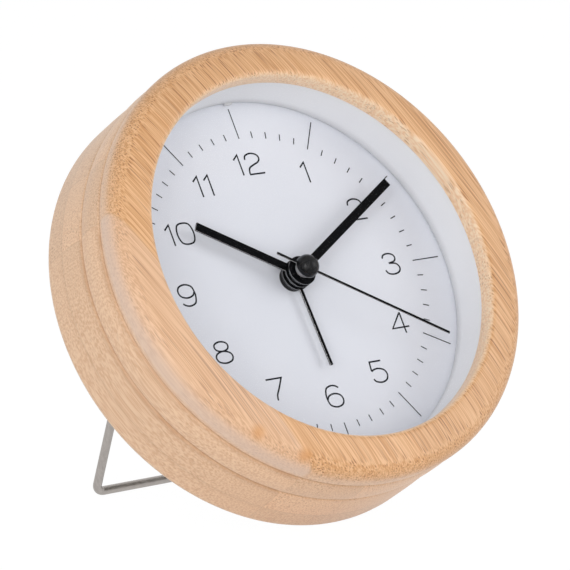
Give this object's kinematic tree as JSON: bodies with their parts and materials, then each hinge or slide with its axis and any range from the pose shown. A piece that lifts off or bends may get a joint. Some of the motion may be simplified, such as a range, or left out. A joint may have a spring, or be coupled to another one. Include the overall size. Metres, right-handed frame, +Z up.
{
  "type": "bamboo table alarm clock",
  "caption": "Round table alarm clock: turned bamboo ring, glass, white dial with black hands, geared quartz movement, back cover with knobs and a folding wire stand.",
  "frame": {"origin": "on the table, below the middle of the clock from front to back and from side to side", "axes": "+Z up, the face looks towards -Y, +X towards 3 o'clock"},
  "size_m": [0.1244, 0.0974, 0.1218],
  "materials": {
    "bamboo": "satin clear lacquer",
    "lens_glass": "clear flat glass",
    "white_plastic": "matt white moulding",
    "dial_card": "matt printed card",
    "carrier_plastic": "moulded",
    "cover_plastic": "fine matt texture",
    "black_plastic": "satin",
    "black_hand": "satin black paint with bare cut edges",
    "bright_pipe": "turned",
    "stand_steel": "drawn wire",
    "screw_steel": "zinc plated",
    "motor_iron": "rolled sheet",
    "copper": "enamelled winding",
    "board": "solder mask",
    "chip_resin": "resin",
    "crystal_can": "drawn can",
    "buzzer_brass": "stamped",
    "spring_brass": "plated",
    "cell_jacket": "plain jacket",
    "magnet": "sintered",
    "gear_plastic": "moulded"
  },
  "bodies": {
    "case": {"wood_case": "bamboo", "lens": "lens_glass", "reflector_ring": "white_plastic", "dial": "dial_card", "movement_carrier": "carrier_plastic", "front_plate": "carrier_plastic", "movement_housing": "carrier_plastic", "movement_screws": "screw_steel", "stator": "motor_iron", "coil_core": "motor_iron", "coil": "copper", "circuit_board": "board", "chip": "chip_resin", "quartz_crystal": "crystal_can", "buzzer": "buzzer_brass", "alarm_contact": "spring_brass", "battery": "cell_jacket", "battery_plate_contact": "spring_brass", "battery_leaf_contact": "spring_brass", "back_cover": "cover_plastic", "back_cover_screws": "screw_steel"},
    "rotor": {"rotor": "gear_plastic", "rotor_magnet": "magnet"},
    "intermediate": {"intermediate_wheel": "gear_plastic"},
    "seconds": {"seconds_wheel": "gear_plastic", "second_hand": "black_hand", "second_hand_pipe": "bright_pipe", "second_hand_cap": "black_hand"},
    "third": {"third_wheel": "gear_plastic"},
    "minute": {"minute_wheel": "gear_plastic", "minute_hand": "black_hand"},
    "motion": {"motion_wheel": "gear_plastic", "time_knob": "black_plastic"},
    "hour": {"hour_wheel": "gear_plastic", "hour_hand": "black_hand"},
    "alarm_setting": {"alarm_pinion": "gear_plastic", "alarm_knob": "black_plastic"},
    "alarm": {"alarm_wheel": "gear_plastic", "alarm_hand": "black_hand"},
    "switch": {"alarm_switch": "black_plastic"},
    "door": {"battery_door": "cover_plastic"},
    "stand": {"stand_wire": "stand_steel"}
  },
  "joints": [
    {"name": "seconds_spin", "type": "hinge", "parent": "case", "child": "seconds", "pos_m": [0, -0.00167, 0.06212], "axis": [0, 0.8339, -0.5519], "continuous": true},
    {"name": "rotor_spin", "type": "hinge", "parent": "case", "child": "rotor", "pos_m": [-0.00495, -0.00837, 0.05199], "axis": [0, 0.8339, -0.5519], "continuous": true},
    {"name": "intermediate_spin", "type": "hinge", "parent": "case", "child": "intermediate", "pos_m": [0, -0.00564, 0.05612], "axis": [0, 0.8339, -0.5519], "continuous": true},
    {"name": "third_spin", "type": "hinge", "parent": "case", "child": "third", "pos_m": [0, 0.00231, 0.06813], "axis": [0, 0.8339, -0.5519], "continuous": true},
    {"name": "minute_spin", "type": "hinge", "parent": "case", "child": "minute", "pos_m": [0, -0.00167, 0.06212], "axis": [0, 0.8339, -0.5519], "continuous": true},
    {"name": "motion_spin", "type": "hinge", "parent": "case", "child": "motion", "pos_m": [-0.00636, 0.0002, 0.06494], "axis": [0, 0.8339, -0.5519], "continuous": true},
    {"name": "hour_spin", "type": "hinge", "parent": "case", "child": "hour", "pos_m": [0, -0.00167, 0.06212], "axis": [0, 0.8339, -0.5519], "continuous": true},
    {"name": "alarm_knob_spin", "type": "hinge", "parent": "case", "child": "alarm_setting", "pos_m": [-0.00709, -0.00472, 0.0575], "axis": [0, 0.8339, -0.5519], "continuous": true},
    {"name": "alarm_spin", "type": "hinge", "parent": "case", "child": "alarm", "pos_m": [0, -0.00167, 0.06212], "axis": [0, 0.8339, -0.5519], "continuous": true},
    {"name": "alarm_switch_slide", "type": "slide", "parent": "case", "child": "switch", "axis": [1, 0, 0], "range_m": [0, 0.004]},
    {"name": "battery_door_swing", "type": "hinge", "parent": "case", "child": "door", "pos_m": [0.01506, 0.02994, 0.07382], "axis": [1, 0, 0], "range_deg": [0, 75]},
    {"name": "stand_fold", "type": "hinge", "parent": "case", "child": "stand", "pos_m": [0, 0.02024, 0.05482], "axis": [-1, 0, 0], "range_deg": [0, 53.5]}
  ],
  "couplings": [
    {"joint": "rotor_spin", "follows": "seconds_spin", "ratio": 30},
    {"joint": "intermediate_spin", "follows": "seconds_spin", "ratio": -5},
    {"joint": "third_spin", "follows": "seconds_spin", "ratio": -0.13333},
    {"joint": "minute_spin", "follows": "seconds_spin", "ratio": 0.016667},
    {"joint": "motion_spin", "follows": "seconds_spin", "ratio": -0.0055556},
    {"joint": "hour_spin", "follows": "seconds_spin", "ratio": 0.0013889},
    {"joint": "alarm_spin", "follows": "alarm_knob_spin", "ratio": -0.5}
  ]
}
